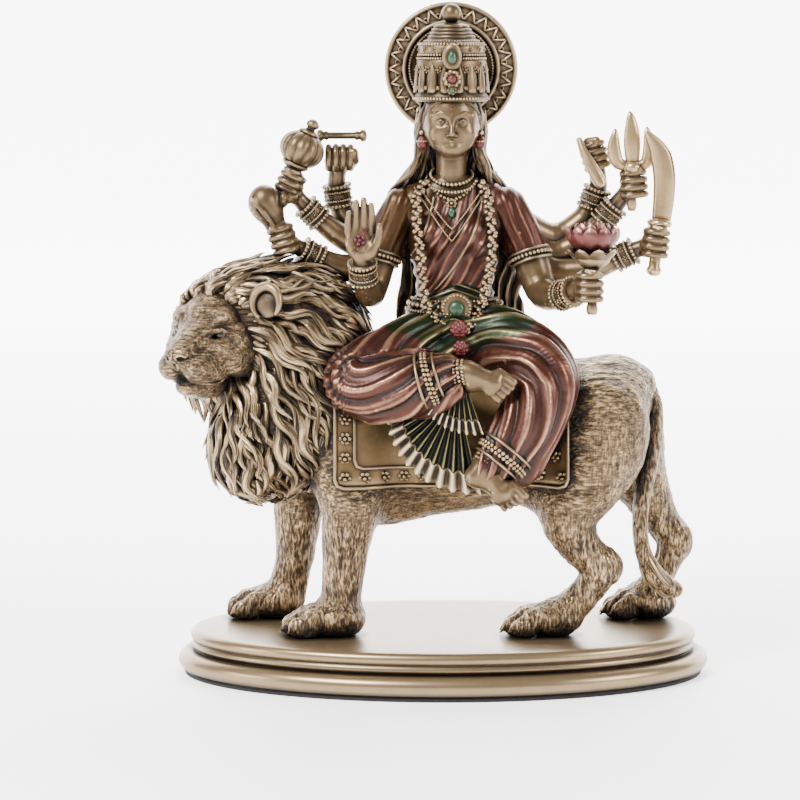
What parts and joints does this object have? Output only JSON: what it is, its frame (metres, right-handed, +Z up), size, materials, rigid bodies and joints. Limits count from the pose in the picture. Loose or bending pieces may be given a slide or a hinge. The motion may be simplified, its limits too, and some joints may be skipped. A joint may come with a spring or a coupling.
{
  "type": "hindu deity statue",
  "caption": "Cast bronze-finish figurine of an eight-armed goddess with a halo, seated on a walking lion on an oval plinth.",
  "frame": {"origin": "centre of the flat felt underside of the plinth", "axes": "+Z up; the goddess faces -Y; the lion walks towards -X"},
  "size_m": [0.158, 0.096, 0.195],
  "materials": {
    "bronze_resin": "antiqued bronze, dark in the hollows and brassy on the crests",
    "plinth_bronze": "satin bronze",
    "skin_bronze": "smooth satin bronze",
    "rose_drape": "dusty rose paint rubbed back to bronze",
    "green_drape": "dark green paint with brassy crests",
    "ochre_drape": "amber paint rubbed back to bronze",
    "dark_hair": "near black bronze",
    "gold_trim": "pale brassy gold",
    "red_bead": "gloss red enamel",
    "lotus_pink": "dusty pink paint",
    "black_felt": "matt black felt",
    "steel_pin": "plain drawn steel"
  },
  "bodies": {
    "root": {"felt_pad": "black_felt", "plinth": "plinth_bronze", "foot_pins": "steel_pin", "lion_body": "bronze_resin", "lion_head": "bronze_resin", "lion_neck_peg": "steel_pin", "lion_tail": "bronze_resin", "saddle_cloth": "gold_trim", "seat_peg": "steel_pin", "goddess_torso": "ochre_drape", "goddess_legs": "rose_drape", "pleat_fan_lower": "green_drape", "pleat_fan_upper": "green_drape", "goddess_head": "skin_bronze", "crown": "gold_trim", "halo": "gold_trim", "halo_peg": "steel_pin", "hair": "dark_hair", "arm_blessing": "skin_bronze", "arm_lotus": "skin_bronze", "arm_conch": "skin_bronze", "arm_mace": "skin_bronze", "arm_vajra": "skin_bronze", "arm_sword": "skin_bronze", "arm_trident": "skin_bronze", "arm_bow": "skin_bronze", "conch": "gold_trim", "mace": "gold_trim", "vajra": "gold_trim", "lotus": "lotus_pink", "sword": "gold_trim", "trident": "gold_trim", "bow": "gold_trim", "armbands": "gold_trim", "earrings": "red_bead", "necklace": "gold_trim", "waist_belt": "gold_trim", "garland": "gold_trim", "garland_blossoms": "red_bead"}
  },
  "joints": []
}
